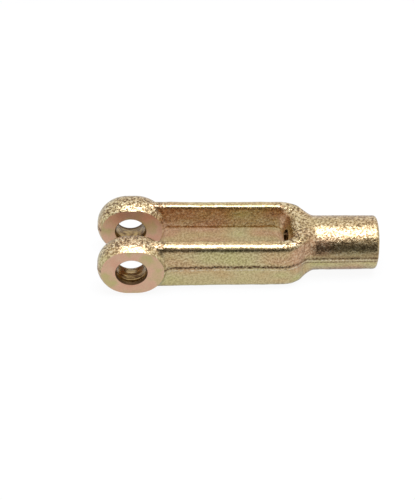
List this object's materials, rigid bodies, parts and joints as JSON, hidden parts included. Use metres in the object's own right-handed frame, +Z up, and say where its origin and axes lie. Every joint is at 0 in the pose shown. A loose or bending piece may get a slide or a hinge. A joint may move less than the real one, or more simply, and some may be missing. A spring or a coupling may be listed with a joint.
{
  "type": "forged clevis rod end",
  "caption": "Forged yoke end for a threaded rod: bored ears on long arms, a slot between them and an internally threaded barrel.",
  "frame": {"origin": "middle of the pin bore, halfway between the ears", "axes": "+X along the rod axis towards the barrel's open end, +Y along the pin, +Z up, square to the slot"},
  "size_m": [0.1175, 0.0368, 0.0252],
  "materials": {
    "yellow_zinc_steel": "forged and shot-blasted steel with yellow zinc plating; satin, iridescent gold and green, with pink on the machined faces"
  },
  "bodies": {
    "root": {"clevis": "yellow_zinc_steel"}
  },
  "joints": []
}
